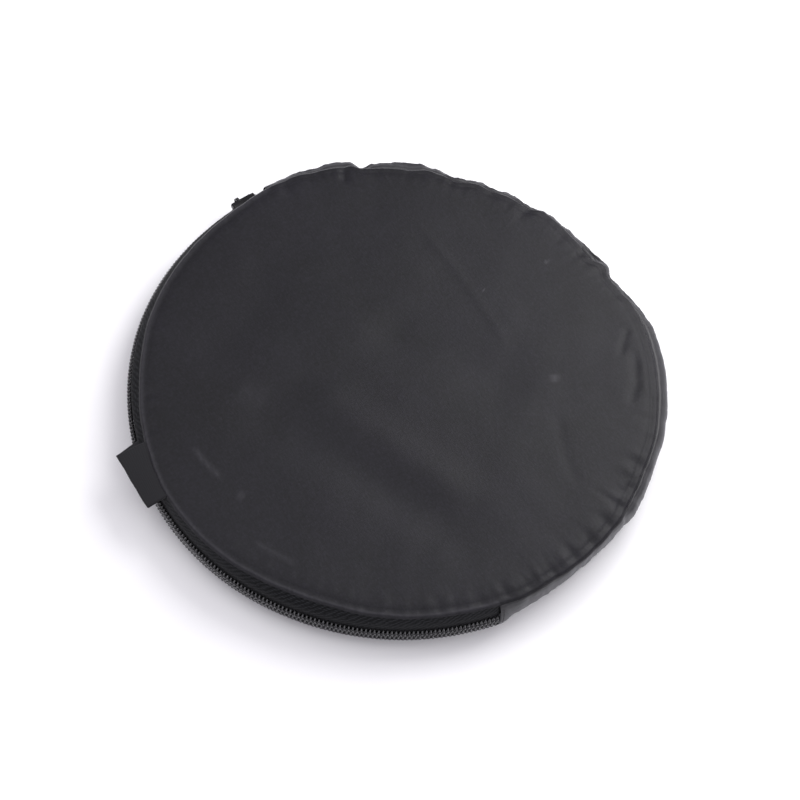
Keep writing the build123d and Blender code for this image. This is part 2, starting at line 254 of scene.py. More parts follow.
def furrows(azimuth, inset):
    """The puckers that run in from the seam: inset is the distance from it."""
    gathered = 0.7 if on_zip(azimuth) else 0.95
    gathered -= 0.5 * ease((azimuth - 32) / 10) * ease((165 - azimuth) / 10)
    reach = 3.6 + 2.0 * ripple(azimuth * 0.21, 4.0)
    fine = ripple(azimuth * 0.75, inset * 0.09) + 0.4 * ripple(azimuth * 1.9, inset * 0.12, 7.0)
    swell = 0.45 * fine * exp(-inset / (1.2 * reach))
    dimple = 0.55 * ripple(azimuth * 0.36, 15.0) * exp(-(((inset - 4.5) / 3.0) ** 2))
    return gathered * (swell + dimple - 0.75 * pinch(azimuth) * exp(-inset / reach))


# ---- Making pieces ----


def placed(azimuth, radius, height):
    """A point in metres from an azimuth and two lengths in millimetres."""
    turn = radians(azimuth)
    return Vector((radius * cos(turn), radius * sin(turn), height)) * MM


def spun(rows, place, start=0.0, span=360.0, steps=360, metres_across=None):
    """A strip or disc wound round the Z axis: rows are the shares of the way across it, and
    place(azimuth, share) gives each point's radius and height. Its UV map is the cloth unrolled."""
    full = span == 360
    bm = bmesh.new()
    bmesh.ops.create_grid(bm, x_segments=steps, y_segments=len(rows) - 1, size=0.5)
    layer = bm.loops.layers.uv.new("cloth")
    flat = {}
    for vert in bm.verts:
        turned = vert.co.x + 0.5
        share = rows[round((vert.co.y + 0.5) * (len(rows) - 1))]
        flat[vert] = (radians(span * turned) * SEAM * MM, share * (metres_across or SEAM * MM))
        azimuth = round((start + span * (0.0 if full and turned > 0.9999 else turned)) % 360, 3)
        vert.co = placed(azimuth, *place(azimuth, share))
    for face in bm.faces:
        for loop in face.loops:
            loop[layer].uv = flat[loop.vert]
    bmesh.ops.remove_doubles(bm, verts=bm.verts, dist=1e-7)
    return bm


def bent_grid(columns, rows, place, close_rows=True, close_columns=False):
    """A grid bent into a tube or ribbon: place(u, v) gives the point for u and v from 0 to 1."""
    bm = bmesh.new()
    bmesh.ops.create_grid(bm, x_segments=columns, y_segments=rows, size=0.5)
    layer = bm.loops.layers.uv.new("cloth")
    flat = {vert: (vert.co.x + 0.5, vert.co.y + 0.5) for vert in bm.verts}
    for face in bm.faces:
        for loop in face.loops:
            loop[layer].uv = flat[loop.vert]
    for vert, (u, v) in flat.items():
        vert.co = place(u, v)
    if close_rows or close_columns:
        bmesh.ops.remove_doubles(bm, verts=bm.verts, dist=2e-7)
    if not close_columns:
        bmesh.ops.holes_fill(bm, edges=[e for e in bm.edges if e.is_boundary], sides=rows + 1)
    return bm


def piece(name, bm, finish, facing=None, wall=0.0):
    """Adds a mesh to the scene with its material and wall. An open mesh is turned so that its
    faces look along facing(point)."""
    bmesh.ops.recalc_face_normals(bm, faces=bm.faces)
    if facing and sum(f.normal.dot(facing(f.calc_center_median())) for f in bm.faces) < 0:
        bmesh.ops.reverse_faces(bm, faces=bm.faces)
    mesh = bpy.data.meshes.new(name)
    bm.to_mesh(mesh)
    bm.free()
    mesh.polygons.foreach_set("use_smooth", [True] * len(mesh.polygons))
    mesh.materials.append(finish)
    made = bpy.data.objects.new(name, mesh)
    bpy.context.scene.collection.objects.link(made)
    if wall:
        thick = made.modifiers.new("Wall", "SOLIDIFY")
        thick.thickness = wall * MM
        thick.offset = -1
    return made


def upwards(_):
    return Vector((0, 0, 1))


def downwards(_):
    return Vector((0, 0, -1))


def outwards(point):
    return Vector((point.x, point.y, 0))


def bends_with_lid(made, *nodes):
    """The piece crosses the lid's fold line and stands for these nodes: they are hidden, and the
    piece's transform is baked into its mesh.
    """
    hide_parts(*nodes)
    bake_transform(made)


def rides(made, body, slot, *nodes):
    """The piece moves with this body and stands for these nodes; the slot is not used."""
    if nodes:
        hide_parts(*nodes)
    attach(made, body)


# ---- Materials ----


def linear(code):
    """An opaque shader colour from an sRGB hex value."""
    channels = [int(code[i : i + 2], 16) / 255 for i in (1, 3, 5)]
    plain = [c / 12.92 if c <= 0.04045 else ((c + 0.055) / 1.055) ** 2.4 for c in channels]
    return (*plain, 1.0)


def node(tree, kind, sockets=None, **settings):
    """Adds a node with its settings; sockets holds input values, or the outputs that feed them."""
    made = tree.nodes.new(kind)
    for name, value in settings.items():
        setattr(made, name, value)
    for name, value in (sockets or {}).items():
        if isinstance(value, bpy.types.NodeSocket):
            tree.links.new(value, made.inputs[name])
        else:
            made.inputs[name].default_value = value
    return made


def material(name, **sockets):
    """A new material, with these values on its shader: its node tree and shader come with it."""
    made = bpy.data.materials.new(name)
    made.use_nodes = True
    shader = made.node_tree.nodes["Principled BSDF"]
    for socket, value in sockets.items():
        shader.inputs[socket.replace("_", " ")].default_value = value
    return made, made.node_tree, shader


def wave_scale(period):
    """The Wave texture's scale for bands this many millimetres apart."""
    return 2 * pi / (20 * period * MM)


def feed(tree, shader, socket, output):
    tree.links.new(output, shader.inputs[socket])


def nylon_taffeta(name, gloss, sheen):
    """210 denier nylon taffeta, calendered and dyed black: a tight plain weave with a soft sheen.
    The threads are 0.25 mm apart, too fine to show, so they are drawn as slubs 0.7 mm across."""
    made, tree, shader = material(
        name, Roughness=0.5, Specular_IOR_Level=gloss, Sheen_Weight=sheen,
        Sheen_Roughness=0.4, IOR=1.53,
    )
    shader.inputs["Sheen Tint"].default_value = linear("#c9c9d6")
    where = node(tree, "ShaderNodeTexCoord").outputs["Object"]
    warp = node(tree, "ShaderNodeMapping", {"Vector": where, "Scale": (1.0, 0.45, 1.0)})
    weft = node(tree, "ShaderNodeMapping", {"Vector": where, "Scale": (0.45, 1.0, 1.0)})
    slubs = [
        node(
            tree, "ShaderNodeTexNoise",
            {"Vector": way.outputs["Vector"], "Scale": 1 / (0.7 * MM), "Detail": 1.0},
        ).outputs["Fac"]
        for way in (warp, weft)
    ]
    weave = node(tree, "ShaderNodeMath", {0: slubs[0], 1: slubs[1]}, operation="MULTIPLY")
    dust = node(
        tree, "ShaderNodeTexNoise",
        {"Vector": where, "Scale": 1 / (38 * MM), "Detail": 4.0, "Roughness": 0.6},
    )
    shade = node(
        tree, "ShaderNodeMath", {0: dust.outputs["Fac"], 1: 0.55, 2: -0.02},
        operation="MULTIPLY_ADD",
    )
    tone = node(tree, "ShaderNodeMath", {0: shade.outputs[0], 1: weave.outputs[0]}, operation="ADD")
    colour = node(tree, "ShaderNodeValToRGB", {"Fac": tone.outputs[0]})
    ramp = colour.color_ramp
    ramp.elements[0].position, ramp.elements[0].color = 0.30, linear("#0c0c0f")
    ramp.elements[1].position, ramp.elements[1].color = 0.75, linear("#19181e")
    # The attribute holds painted highlights: the colour turns lighter on bright creases and spots
    # and along the seam's rolled ridge.
    mottle_and_highlight = node(tree, "ShaderNodeAttribute", attribute_name="mottle_and_highlight")
    highlighted = node(
        tree, "ShaderNodeMix",
        {"Factor": mottle_and_highlight.outputs["Fac"], 6: colour.outputs["Color"], 7: linear("#56555a")},
        data_type="RGBA",
    )
    feed(tree, shader, "Base Color", highlighted.outputs[2])
    bump = node(
        tree, "ShaderNodeBump",
        {"Height": weave.outputs[0], "Strength": 0.5, "Distance": 0.12 * MM},
    )
    feed(tree, shader, "Normal", bump.outputs["Normal"])
    return made


def zip_tape_cloth():
    """Woven polyester zip tape, dyed black: a fine diagonal twill with ribs along the zip, matt and
    darker than the nylon. Its threads are 0.2 mm apart, too fine to show, so they are drawn as
    broken bands 1.3 mm apart."""
    made, tree, shader = material(
        "polyester_zip_tape", Roughness=0.8, Specular_IOR_Level=0.14, Sheen_Weight=0.03
    )
    where = node(tree, "ShaderNodeUVMap", uv_map="cloth").outputs["UV"]
    ribs = node(
        tree, "ShaderNodeTexWave",
        {"Vector": where, "Scale": wave_scale(0.9), "Distortion": 0.6, "Detail Scale": 2.0},
        bands_direction="Y",
    )
    picks = node(
        tree, "ShaderNodeTexWave",
        {"Vector": where, "Scale": wave_scale(1.3), "Distortion": 4.0, "Detail Scale": 1.5},
        bands_direction="DIAGONAL",
    )
    weave = node(
        tree, "ShaderNodeMath", {0: ribs.outputs["Fac"], 1: picks.outputs["Fac"]},
        operation="MULTIPLY",
    )
    colour = node(
        tree, "ShaderNodeMix",
        {"Factor": weave.outputs[0], 6: linear("#090a0c"), 7: linear("#292a2d")},
        data_type="RGBA",
    )
    feed(tree, shader, "Base Color", colour.outputs[2])
    bump = node(
        tree, "ShaderNodeBump",
        {"Height": weave.outputs[0], "Strength": 0.8, "Distance": 0.15 * MM},
    )
    feed(tree, shader, "Normal", bump.outputs["Normal"])
    return made


def grosgrain():
    """Woven polyester ribbon, dyed black: raised cross ribs 0.9 mm apart, which give a faintly
    lined, semi-matt face."""
    made, tree, shader = material(
        "grosgrain_ribbon", Roughness=0.66, Specular_IOR_Level=0.24, Sheen_Weight=0.06
    )
    where = node(tree, "ShaderNodeUVMap", uv_map="cloth").outputs["UV"]
    ribs = node(
        tree, "ShaderNodeTexWave", {"Vector": where, "Scale": wave_scale(0.9), "Distortion": 0.4},
        bands_direction="Y",
    )
    threads = node(
        tree, "ShaderNodeTexNoise", {"Vector": where, "Scale": 1 / (0.7 * MM), "Detail": 1.0}
    )
    weave = node(
        tree, "ShaderNodeMath",
        {0: ribs.outputs["Fac"], 1: threads.outputs["Fac"]}, operation="MULTIPLY",
    )
    colour = node(
        tree, "ShaderNodeMix",
        {"Factor": weave.outputs[0], 6: linear("#151518"), 7: linear("#1c1c1f")},
        data_type="RGBA",
    )
    feed(tree, shader, "Base Color", colour.outputs[2])
    bump = node(
        tree, "ShaderNodeBump", {"Height": weave.outputs[0], "Strength": 0.35, "Distance": 0.1 * MM}
    )
    feed(tree, shader, "Normal", bump.outputs["Normal"])
    return made


def binding_cloth():
    """Folded polyester bias tape over the raw edges, plain weave, black and matt."""
    made, tree, shader = material("bias_tape", Roughness=0.85, Specular_IOR_Level=0.25)
    where = node(tree, "ShaderNodeTexCoord").outputs["Object"]
    threads = node(
        tree, "ShaderNodeTexNoise", {"Vector": where, "Scale": 1 / (0.9 * MM), "Detail": 2.0}
    )
    colour = node(
        tree, "ShaderNodeMix",
        {"Factor": threads.outputs["Fac"], 6: linear("#141416"), 7: linear("#2a2a2d")},
        data_type="RGBA",
    )
    feed(tree, shader, "Base Color", colour.outputs[2])
    bump = node(
        tree, "ShaderNodeBump",
        {"Height": threads.outputs["Fac"], "Strength": 0.5, "Distance": 0.12 * MM},
    )
    feed(tree, shader, "Normal", bump.outputs["Normal"])
    return made


def nylon_coil():
    """Extruded nylon monofilament wound into the zip's teeth: smooth, black and fairly glossy."""
    made, tree, shader = material(
        "nylon_monofilament", Roughness=0.24, Specular_IOR_Level=0.75, IOR=1.53
    )
    where = node(tree, "ShaderNodeTexCoord").outputs["Object"]
    mottle_and_highlight = node(
        tree, "ShaderNodeTexNoise", {"Vector": where, "Scale": 1 / (6 * MM), "Detail": 3.0}
    )
    colour = node(
        tree, "ShaderNodeMix",
        {"Factor": mottle_and_highlight.outputs["Fac"], 6: linear("#242425"), 7: linear("#4c4c4e")},
        data_type="RGBA",
    )
    feed(tree, shader, "Base Color", colour.outputs[2])
    return made


def thread_cloth():
    """Twisted polyester sewing thread, black, with the twist as fine diagonal bands."""
    made, tree, shader = material("polyester_thread", Roughness=0.6, Specular_IOR_Level=0.4)
    where = node(tree, "ShaderNodeTexCoord").outputs["Object"]
    twist = node(
        tree, "ShaderNodeTexWave", {"Vector": where, "Scale": wave_scale(0.5)},
        bands_direction="DIAGONAL",
    )
    colour = node(
        tree, "ShaderNodeMix",
        {"Factor": twist.outputs["Fac"], 6: linear("#101012"), 7: linear("#2e2e31")},
        data_type="RGBA",
    )
    feed(tree, shader, "Base Color", colour.outputs[2])
    return made


def painted_zinc():
    """Die-cast zinc, spray painted black: glossy, with an orange-peel grain of half a millimetre,
    and with grey metal showing through on the edges that hands and the zip rub."""
    made, tree, shader = material("painted_zinc", Roughness=0.2, Specular_IOR_Level=0.32)
    where = node(tree, "ShaderNodeTexCoord").outputs["Object"]
    peel = node(
        tree, "ShaderNodeTexNoise", {"Vector": where, "Scale": 1 / (0.5 * MM), "Detail": 2.0}
    )
    edge = node(tree, "ShaderNodeNewGeometry").outputs["Pointiness"]
    wear_and_highlight = node(
        tree, "ShaderNodeMapRange", {"Value": edge, "From Min": 0.55, "From Max": 0.64},
        clamp=True,
    )
    colour = node(
        tree, "ShaderNodeMix",
        {"Factor": wear_and_highlight.outputs["Result"], 6: linear("#0c0c0d"), 7: linear("#77787a")},
        data_type="RGBA",
    )
    feed(tree, shader, "Base Color", colour.outputs[2])
    bump = node(
        tree, "ShaderNodeBump",
        {"Height": peel.outputs["Fac"], "Strength": 0.25, "Distance": 0.03 * MM},
    )
    feed(tree, shader, "Normal", bump.outputs["Normal"])
    return made


def reflector_cloth(name, dark, light, metallic, roughness, grain):
    """Cloth of the reflector: knitted polyester, laminated with a metallised film on the silver and
    gold sides, whose fine cross pattern scatters the light in small facets."""
    made, tree, shader = material(name, Roughness=roughness, Metallic=metallic)
    where = node(tree, "ShaderNodeTexCoord").outputs["Object"]
    facets = node(
        tree, "ShaderNodeTexVoronoi", {"Vector": where, "Scale": 1 / (grain * MM)}
    )
    creases = node(
        tree, "ShaderNodeTexNoise", {"Vector": where, "Scale": 1 / (9 * MM), "Detail": 5.0}
    )
    mottle = node(
        tree, "ShaderNodeMath", {0: facets.outputs["Distance"], 1: creases.outputs["Fac"]},
        operation="MULTIPLY",
    )
    colour = node(
        tree, "ShaderNodeMix",
        {"Factor": mottle.outputs[0], 6: linear(dark), 7: linear(light)}, data_type="RGBA",
    )
    feed(tree, shader, "Base Color", colour.outputs[2])
    relief = node(
        tree, "ShaderNodeMath", {0: creases.outputs["Fac"], 1: facets.outputs["Distance"]},
        operation="ADD",
    )
    bump = node(
        tree, "ShaderNodeBump", {"Height": relief.outputs[0], "Strength": 0.5, "Distance": 0.4 * MM}
    )
    feed(tree, shader, "Normal", bump.outputs["Normal"])
    return made


def rolled_steel(name, dark, light):
    """Cold-rolled spring steel strip: rolling lines run along the band."""
    made, tree, shader = material(name, Roughness=0.34, Metallic=1.0)
    where = node(tree, "ShaderNodeTexCoord").outputs["Object"]
    lines = node(tree, "ShaderNodeMapping", {"Vector": where, "Scale": (0.05, 0.05, 1.0)})
    roll = node(
        tree, "ShaderNodeTexNoise",
        {"Vector": lines.outputs["Vector"], "Scale": 1 / (0.4 * MM), "Detail": 2.0},
    )
    colour = node(
        tree, "ShaderNodeMix",
        {"Factor": roll.outputs["Fac"], 6: linear(dark), 7: linear(light)}, data_type="RGBA",
    )
    feed(tree, shader, "Base Color", colour.outputs[2])
    return made


def floor_paper():
    """Matt white background paper with a faint pulp grain."""
    made, tree, shader = material("background_paper", Roughness=0.95, Specular_IOR_Level=0.1)
    where = node(tree, "ShaderNodeTexCoord").outputs["Object"]
    pulp = node(
        tree, "ShaderNodeTexNoise", {"Vector": where, "Scale": 1 / (60 * MM), "Detail": 2.0}
    )
    colour = node(
        tree, "ShaderNodeMix",
        {"Factor": pulp.outputs["Fac"], 6: linear("#f1f1f2"), 7: linear("#fafafa")},
        data_type="RGBA",
    )
    feed(tree, shader, "Base Color", colour.outputs[2])
    return made


NYLON = nylon_taffeta("nylon_taffeta", gloss=0.205, sheen=0.025)
TAUT_NYLON = nylon_taffeta("nylon_taffeta_taut", gloss=0.5, sheen=0.12)
TAPE = zip_tape_cloth()
RIBBON = grosgrain()
BINDING = binding_cloth()
COIL = nylon_coil()
THREAD = thread_cloth()
ZINC = painted_zinc()
FILM = {"metallic": 0.85, "roughness": 0.38, "grain": 1.1}
SILVER = reflector_cloth("silver_film_cloth", "#8d9095", "#e3e6ea", **FILM)
GOLD = reflector_cloth("gold_film_cloth", "#7d5a1c", "#e0b45a", **FILM)
DIFFUSER = reflector_cloth(
    "translucent_nylon", "#d9d9d6", "#f6f6f4", metallic=0.0, roughness=0.7, grain=0.8
)
STEEL = rolled_steel("spring_steel_strip", "#6d7076", "#a9acb2")
FERRULE = rolled_steel("crimped_steel", "#8b8d90", "#c5c7ca")


# ---- Pouch cloth ----


def spread(low, high, count, crowd=1.0):
    """Numbers from low to high, crowded towards high where crowd is under 1."""
    return [low + (high - low) * (index / (count - 1)) ** crowd for index in range(count)]


def top_panel_place(azimuth, share):
    """The top panel: slack over the hoops, with a narrow rolled ridge along its seam."""
    seam_radius, seam_height = seam_line(azimuth)
    reach = share * (seam_radius + PANEL_LIP)
    inset = max(seam_radius - reach, 0.0)
    turn = radians(azimuth)
    relief = panel_relief(reach * cos(turn), reach * sin(turn)) * ease(inset / 6)
    level = PANEL_TOP + relief + furrows(azimuth, inset) * ease(inset / 2.5)
    tall = 0.55 if on_zip(azimuth) else 0.3
    ridge = tall * exp(-(((inset - 0.85) / 0.6) ** 2)) - 0.4 * exp(-(((inset - 2.3) / 0.9) ** 2))
    edge = (PANEL_TOP - seam_height - 0.25) * exp(-((inset / 3.2) ** 1.6))
    return reach, level + ridge - edge - 0.55 * exp(-((inset / 0.4) ** 2))


def painted_highlight(x, y):
    """How much painted highlight the cloth gets at this place, from 0: lighter colour on bright
    creases and spots, and along the seam's rolled ridge.
    """
    total = 0.0
    for path, half, strength in PAINTED_HIGHLIGHTS:
        if hypot(x - path[0][0], y - path[0][1]) < 80:
            away, inside = distance_to_path(x, y, path)
            if away < 3 * half:
                total += strength * inside * exp(-((away / half) ** 2))
    azimuth = round(degrees(atan2(y, x)) % 360, 1)
    inset = seam_line(azimuth)[0] - hypot(x, y)
    # Painted highlight: a bright line along the rolled ridge just inside the seam, strongest on the
    # zip half.
    total += (0.34 if on_zip(azimuth) else 0.04) * exp(-(((inset - 0.7) / 0.4) ** 2))
    return total * (1 + 0.5 * ripple(x / 1.5, y / 1.5, 40.0))


def make_top_panel():
    bm = spun(spread(0.0, 1.0, 64, 0.72), top_panel_place, steps=640)
    made = piece("top_panel", bm, NYLON, upwards, CLOTH)
    # Painted highlights, stored per point for the material: lighter colour on bright creases and
    # spots and along the seam ridge.
    wear_and_highlight = made.data.attributes.new("mottle_and_highlight", "FLOAT", "POINT")
    wear_and_highlight.data.foreach_set("value", [painted_highlight(v.co.x / MM, v.co.y / MM) for v in made.data.vertices])
    bends_with_lid(made, "top_panel_rear", "top_panel_lid")


def upper_binding_place(azimuth, share):
    """The tape folded over the seam's raw edges, which hangs inside under the top panel."""
    turn = 2 * pi * share
    inset = 1.7 + 1.1 * cos(turn)
    seam_radius = seam_line(azimuth)[0]
    above = top_panel_place(azimuth, (seam_radius - inset) / (seam_radius + PANEL_LIP))[1]
    wave = 0.15 * ripple(azimuth * 0.8, 33.0)
    return seam_radius - inset + wave, above - 0.75 + 0.36 * sin(turn)


def make_upper_binding():
    made = piece("seam_binding_upper", spun(spread(0.0, 1.0, 11), upper_binding_place), BINDING)
    bends_with_lid(made, "seam_binding_rear", "seam_binding_lid")
    return made


def bottom_panel_place(azimuth, share):
    """The bottom panel lies flat on the floor, with small puckers at its seam."""
    foot = along_rim(FOOT_RADII, azimuth)
    radius = foot * share
    turn = radians(azimuth)
    x, y = radius * cos(turn), radius * sin(turn)
    inset = foot - radius
    lift = 0.12 * (1 + ripple(x / 17, y / 17, 12.0))
    pucker = 0.25 * pinch((azimuth + 4) % 360) + 0.12 * (1 + ripple(azimuth * 0.8, 3.0))
    rolled = 0.75 * exp(-((inset / 1.2) ** 1.3))
    return radius, lift * ease(inset / 4) + pucker * exp(-inset / 5) + rolled


def make_bottom_panel():
    bm = spun(spread(0.0, 1.0, 40, 0.72), bottom_panel_place, steps=420)
    made = piece("bottom_panel_cloth", bm, NYLON, downwards, CLOTH)
    rides(made, "pouch", "pouch_nylon", "bottom_panel")


def gusset_place(azimuth, share):
    """The gusset bulges between the two seams, with pleats that run down from each pinch."""
    azimuth = azimuth % 360
    seam_radius, seam_height = seam_line(round(azimuth, 3))
    seam_height -= 0.35
    fullest = along_rim(BELLY_HEIGHTS, azimuth)
    foot = along_rim(FOOT_RADII, azimuth)
    edge = foot + (seam_radius - foot) * share
    full = along_rim(BELLY_RADII, azimuth) - foot - (seam_radius - foot) * fullest
    belly = sin(pi * share ** (log(0.5) / log(fullest))) ** 0.6 if 0 < share < 1 else 0.0
    lean = azimuth + 3.0 * (share - 0.5)
    pleats = 0.5 * ripple(lean * 0.42, share * 1.3, 1.0)
    pleats += 0.32 * ripple(lean * 1.1, share * 1.6, 6.0)
    drawn = 0.5 * pinch(round(lean % 360, 2)) * (0.8 * share**1.5 + 0.2)
    calm = ease(turn_between(azimuth, ZIP_START) / 4) * ease(turn_between(azimuth, ZIP_END) / 4)
    calm *= 1 - 0.6 * ease((azimuth - 34) / 8) * ease((78 - azimuth) / 6)
    out = belly * (full + calm * (pleats - drawn))
    near_seam = exp(-(((share - 0.95) / 0.07) ** 2))
    pocket = sum(
        deep * exp(-((turn_between(azimuth, at) / half) ** 2)) for at, half, deep in POCKETS
    ) + 0.8 * calm
    rise = 0.6 + (seam_height - 0.6) * share + 0.5 * calm * belly * pleats - pocket * near_seam
    reach = edge + max(out, 0.15 * belly)
    too_close = ease((INSIDE_CLEAR - reach) / 0.8) * ease((share - 0.45) / 0.1)
    return reach, rise + too_close * max(INSIDE_TOP - rise, 0.0)


def make_gusset():
    bm = spun(spread(0.0, 1.0, 34), gusset_place, ZIP_END, 360 - ZIP_SPAN, 460)
    made = piece("gusset_cloth", bm, TAUT_NYLON, outwards, CLOTH)
    rides(made, "pouch", "pouch_nylon", "gusset_band")


# ---- Zip ----


def tape_place(side):
    """Where a zip tape goes: from its seam over a soft knee and then straight towards the coil.
    The side is 1 for the upper tape and -1 for the lower one."""

    def place(azimuth, share):
        seam_radius, seam_height = seam_line(azimuth)
        if side < 0:
            seam_radius, seam_height = along_rim(FOOT_RADII, azimuth), 0.9
        wave = 0.16 * ripple(azimuth * 0.5, share * 2.0, 11.0 * side)
        knee = MIDDLE + side * TAPE_KNEE
        stand = TAPE_FACE + COIL_SWELL * swelling(azimuth)
        seam_height -= 0.3 * side
        if share < KNEE_SHARE:
            along = share / KNEE_SHARE
            out = ease(along) * 0.35 + 0.65 * sin(along * pi / 2)
            reach = seam_radius + (stand - seam_radius) * out
            return reach + wave * sin(pi * along), seam_height + (knee - seam_height) * along
        along = (share - KNEE_SHARE) / (1 - KNEE_SHARE)
        return stand, knee + (MIDDLE + side * TAPE_GAP - knee) * along

    return place


def make_tape(side, name):
    width = TAPE_WIDTH * MM
    bm = spun(spread(0.0, 1.0, 22), tape_place(side), ZIP_START, ZIP_SPAN, 420, width)
    made = piece(name, bm, TAPE, outwards, TAPE_THICKNESS)
    return made


COIL_TURNS = round(radians(ZIP_SPAN) * COIL_RADIUS / COIL_PITCH)


def coil_centre(side, turn):
    """The middle of the coil's wire after this many turns: a flattened helix round the rim."""
    phase = 2 * pi * (turn + (0.5 if side < 0 else 0.0))
    lean = 0.18 * sin(phase) / COIL_TURNS
    azimuth = ZIP_START + ZIP_SPAN * clamp01(turn / COIL_TURNS + lean)
    swell = COIL_SWELL * swelling(round(azimuth, 2))
    radius = COIL_RADIUS + swell - COIL_HALF_DEPTH * sin(phase)
    height = MIDDLE + side * (COIL_MIDDLE - COIL_HALF_HEIGHT * cos(phase))
    return placed(azimuth, radius, height)


def tube(centre, wire, columns, rows):
    """A round tube about the line that centre(u) gives for u from 0 to 1."""

    def place(u, v):
        step = 0.25 / columns
        along = (centre(u + step) - centre(u - step)).normalized()
        across = along.cross(Vector((0, 0, 1)))
        if across.length < 0.2:
            across = along.cross(Vector((1, 0, 0)))
        across.normalize()
        upright = along.cross(across)
        turn = 2 * pi * v
        return centre(u) + (across * cos(turn) + upright * sin(turn)) * wire * MM

    return bent_grid(columns, rows, place)


def make_coil(side, name):
    """The wound monofilament, in one piece from end to end."""

    def place(u, v):
        turn = u * COIL_TURNS
        here = coil_centre(side, turn)
        along = (coil_centre(side, turn + 0.02) - coil_centre(side, turn - 0.02)).normalized()
        rim = Vector((-here.y, here.x, 0)).normalized()
        across = along.cross(rim).normalized()
        thick = across.cross(along)
        angle = 2 * pi * v
        return here + (across * cos(angle) + thick * sin(angle)) * COIL_WIRE * MM

    made = piece(name, bent_grid(COIL_TURNS * 12, 6, place), COIL)
    return made


def make_coil_thread(side, name):
    """The sewing thread that holds the coil to its tape dips between the coil's turns."""

    def centre(u):
        turn = u * COIL_TURNS
        azimuth = ZIP_START + ZIP_SPAN * u
        swell = COIL_SWELL * swelling(round(clamp01(u) * ZIP_SPAN + ZIP_START, 2))
        crossing = 0.654 if side > 0 else 0.154
        dip = 0.2 * cos(2 * pi * (turn - crossing))
        radius = COIL_RADIUS + COIL_HALF_DEPTH + 0.22 + swell + dip
        return placed(azimuth, radius, MIDDLE + side * THREAD_HEIGHT)

    made = piece(name, tube(centre, THREAD_WIRE, COIL_TURNS * 5, 4), THREAD)
    return made


def make_zip():
    upper_tape = make_tape(1, "zip_tape_upper")
    bends_with_lid(upper_tape, "zip_tape_lid", "zip_tape_left_end", "zip_tape_right_end")
    lower_tape = make_tape(-1, "zip_tape_lower_cloth")
    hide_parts("zip_tape_lower")
    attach(lower_tape, "pouch")
    upper_coil = make_coil(1, "zip_coil_upper")
    bends_with_lid(upper_coil, "zip_coil_lid", "zip_coil_left_end", "zip_coil_right_end")
    lower_coil = make_coil(-1, "zip_coil_lower_wire")
    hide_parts("zip_coil_lower")
    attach(lower_coil, "pouch")
    bends_with_lid(make_coil_thread(1, "zip_thread_upper"))
    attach(make_coil_thread(-1, "zip_thread_lower"), "pouch")


def softened(node_name, name, width):
    """A copy of a metal CAD node with its hard edges rounded by this width."""
    bm = bmesh.new()
    bm.from_mesh(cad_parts[node_name].data)
    bmesh.ops.remove_doubles(bm, verts=bm.verts, dist=1e-6)
    bmesh.ops.dissolve_limit(
        bm, angle_limit=radians(1), verts=bm.verts, edges=bm.edges, delimit={"NORMAL"}
    )
    mesh = bpy.data.meshes.new(name)
    bm.to_mesh(mesh)
    bm.free()
    mesh.materials.append(ZINC)
    mesh.polygons.foreach_set("use_smooth", [True] * len(mesh.polygons))
    made = bpy.data.objects.new(name, mesh)
    bpy.context.scene.collection.objects.link(made)
    rounded = made.modifiers.new("Rounded", "BEVEL")
    rounded.width = width * MM
    rounded.segments = 3
    rounded.limit_method = "ANGLE"
    rounded.angle_limit = radians(32)
    rounded.harden_normals = True
    return made


def make_slider():
    body = softened("slider_body", "zip_slider", 0.22)
    rides(body, "slider", "slider_metal", "slider_body")
    pull = softened("pull_tab", "zip_pull", 0.18)
    rides(pull, "pull", "pull_metal", "pull_tab")


# ---- Carry loop ----

LOOP_AZIMUTH = 264.3
LOOP_WIDTH = 24.5
LOOP_LONG = 11.4  # how far the edge nearer the zip's start reaches from the seam
LOOP_SHORT = 7.4  # how far the other edge reaches
LOOP_SKEW = 3.6  # how much nearer the zip's start the under layer is sewn
RIBBON_THICKNESS = 0.5


def loop_place(u, v):
    """The ribbon: u runs out from the seam, round the fold and back, v from edge to edge."""
    reach = LOOP_LONG + (LOOP_SHORT - LOOP_LONG) * v
    out = u * 2 if u < 0.5 else (1 - u) * 2
    gape = 2.3 * (1 - v) ** 1.5 + 0.25
    parted = 0.75 * sqrt(max(1 - out**6, 0.0)) + gape * (1 - out)
    height = SEAM_TOP - 0.1 - 2.6 * out**1.3 - 0.3 * sin(pi * v) * out
    along = LOOP_WIDTH * (v - 0.5) + 0.6 * out * (v - 0.3)
    if u > 0.5:
        height -= parted
        along -= LOOP_SKEW * (1 - out)
    face = Matrix.Rotation(radians(LOOP_AZIMUTH), 4, "Z")
    curve = SEAM - sqrt(SEAM**2 - along**2)
    base = SEAM + swelling(LOOP_AZIMUTH + degrees(along / SEAM)) - 0.7 - curve * (1 - out)
    if u > 0.5:
        base += 1.6 * (1 - out) * (1 - 0.5 * v)
    return face @ (Vector((base + out * reach, along, height)) * MM)


def make_carry_loop():
    bm = bent_grid(56, 26, loop_place, close_rows=False, close_columns=True)
    layer = bm.loops.layers.uv["cloth"]
    for face in bm.faces:
        for loop in face.loops:
            u, v = loop[layer].uv
            loop[layer].uv = (v * LOOP_WIDTH * MM, u * 2 * LOOP_LONG * MM)
    made = piece("carry_ribbon", bm, RIBBON)
    thick = made.modifiers.new("Wall", "SOLIDIFY")
    thick.thickness = RIBBON_THICKNESS * MM
    thick.offset = 0
    rides(made, "lid", "loop_ribbon", "carry_loop")


# ---- Stitches ----

END_STITCHES = 6
STITCH_LENGTH = 2.2
STITCH_WIRE = 0.17  # radius of the thread
STITCH_NECK = 0.35  # a stitch narrows to this share of its thickness at each end


